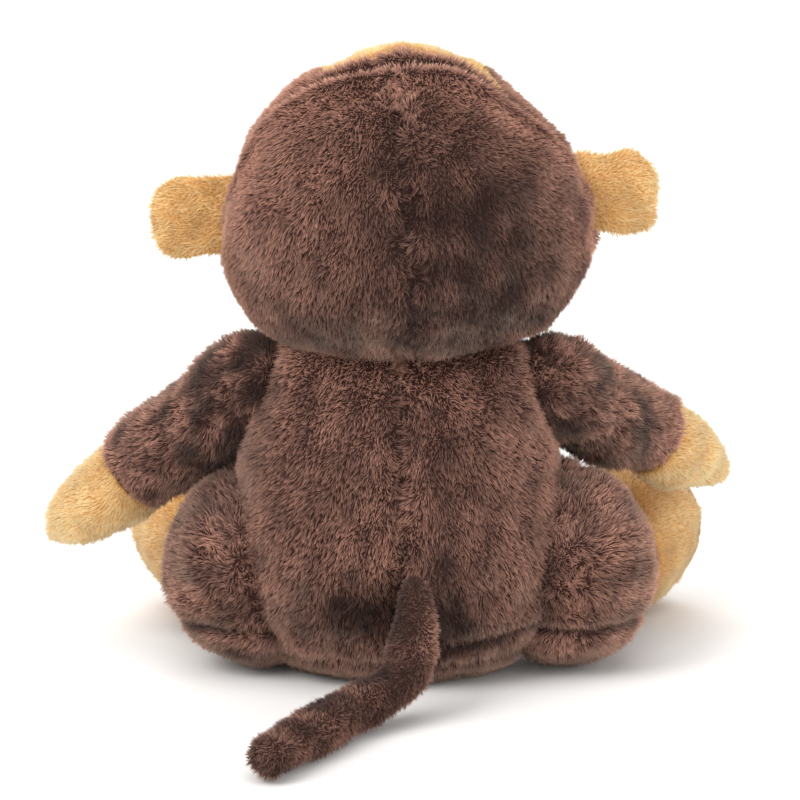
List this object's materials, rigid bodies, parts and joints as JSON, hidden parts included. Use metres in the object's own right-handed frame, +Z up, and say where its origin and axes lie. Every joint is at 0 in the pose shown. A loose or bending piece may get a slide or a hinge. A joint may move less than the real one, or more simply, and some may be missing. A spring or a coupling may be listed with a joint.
{
  "type": "plush monkey",
  "caption": "Seated plush monkey: brown plush panels with tan face, ears, hands and feet, soft limbs that bend at their seams, and a long curved tail.",
  "frame": {"origin": "centre of the flat seat face that the monkey sits on", "axes": "+Z up, the monkey faces -Y and its left side is +X"},
  "size_m": [0.2251, 0.2166, 0.1979],
  "materials": {
    "brown_plush": "matte",
    "tan_plush": "matte",
    "wadding": "matte",
    "pouch_cloth": "matte",
    "eye_plastic": "gloss",
    "washer_plastic": "satin",
    "nose_plastic": "satin",
    "dark_thread": "satin"
  },
  "bodies": {
    "torso": {"torso_back_left": "brown_plush", "torso_back_right": "brown_plush", "torso_belly_panel": "brown_plush", "torso_seat_panel": "brown_plush", "torso_stuffing": "wadding", "torso_pellet_pouch": "pouch_cloth"},
    "head": {"head_back_left": "brown_plush", "head_back_right": "brown_plush", "head_crown_gusset": "brown_plush", "face_panel": "tan_plush", "muzzle_panel": "tan_plush", "head_stuffing": "wadding", "eye_left": "eye_plastic", "eye_right": "eye_plastic", "eye_washer_left": "washer_plastic", "eye_washer_right": "washer_plastic", "nose": "nose_plastic", "mouth_stitch": "dark_thread"},
    "ear_left": {"ear_left_front": "tan_plush", "ear_left_back": "tan_plush", "ear_left_wadding": "wadding"},
    "ear_right": {"ear_right_front": "tan_plush", "ear_right_back": "tan_plush", "ear_right_wadding": "wadding"},
    "arm_left": {"arm_left_sleeve": "brown_plush", "hand_left": "tan_plush", "arm_left_stuffing": "wadding"},
    "arm_right": {"arm_right_sleeve": "brown_plush", "hand_right": "tan_plush", "arm_right_stuffing": "wadding"},
    "leg_left": {"leg_left_sleeve": "brown_plush", "foot_left_upper": "tan_plush", "foot_left_sole": "tan_plush", "leg_left_stuffing": "wadding"},
    "leg_right": {"leg_right_sleeve": "brown_plush", "foot_right_upper": "tan_plush", "foot_right_sole": "tan_plush", "leg_right_stuffing": "wadding"},
    "tail": {"tail_sleeve": "brown_plush", "tail_stuffing": "wadding"}
  },
  "joints": [
    {"name": "neck_nod", "type": "hinge", "parent": "torso", "child": "head", "pos_m": [0, -0.002, 0.075], "axis": [1, 0, 0], "range_deg": [-12, 18], "stiffness_Nm_per_rad": 0.3},
    {"name": "ear_left_fold", "type": "hinge", "parent": "head", "child": "ear_left", "pos_m": [0.06066, -0.003, 0.14269], "axis": [-0.061, 0, -0.9981], "range_deg": [-25, 50], "stiffness_Nm_per_rad": 0.01},
    {"name": "ear_right_fold", "type": "hinge", "parent": "head", "child": "ear_right", "pos_m": [-0.0635, -0.003, 0.15028], "axis": [0.061, 0, 0.9981], "range_deg": [-25, 50], "stiffness_Nm_per_rad": 0.01},
    {"name": "shoulder_left_lift", "type": "hinge", "parent": "torso", "child": "arm_left", "pos_m": [0.049, -0.002, 0.0895], "axis": [0, -1, 0], "range_deg": [0, 60]},
    {"name": "shoulder_right_lift", "type": "hinge", "parent": "torso", "child": "arm_right", "pos_m": [-0.049, -0.002, 0.0895], "axis": [0, 1, 0], "range_deg": [0, 60]},
    {"name": "hip_left_lift", "type": "hinge", "parent": "torso", "child": "leg_left", "pos_m": [0.0425, 0.003, 0.0335], "axis": [-1, 0, 0], "range_deg": [0, 26]},
    {"name": "hip_right_lift", "type": "hinge", "parent": "torso", "child": "leg_right", "pos_m": [-0.049, 0.003, 0.0335], "axis": [-1, 0, 0], "range_deg": [0, 12]},
    {"name": "tail_lift", "type": "hinge", "parent": "torso", "child": "tail", "pos_m": [-0.005, 0.0425, 0.036], "axis": [1, 0, 0], "range_deg": [0, 38]}
  ]
}
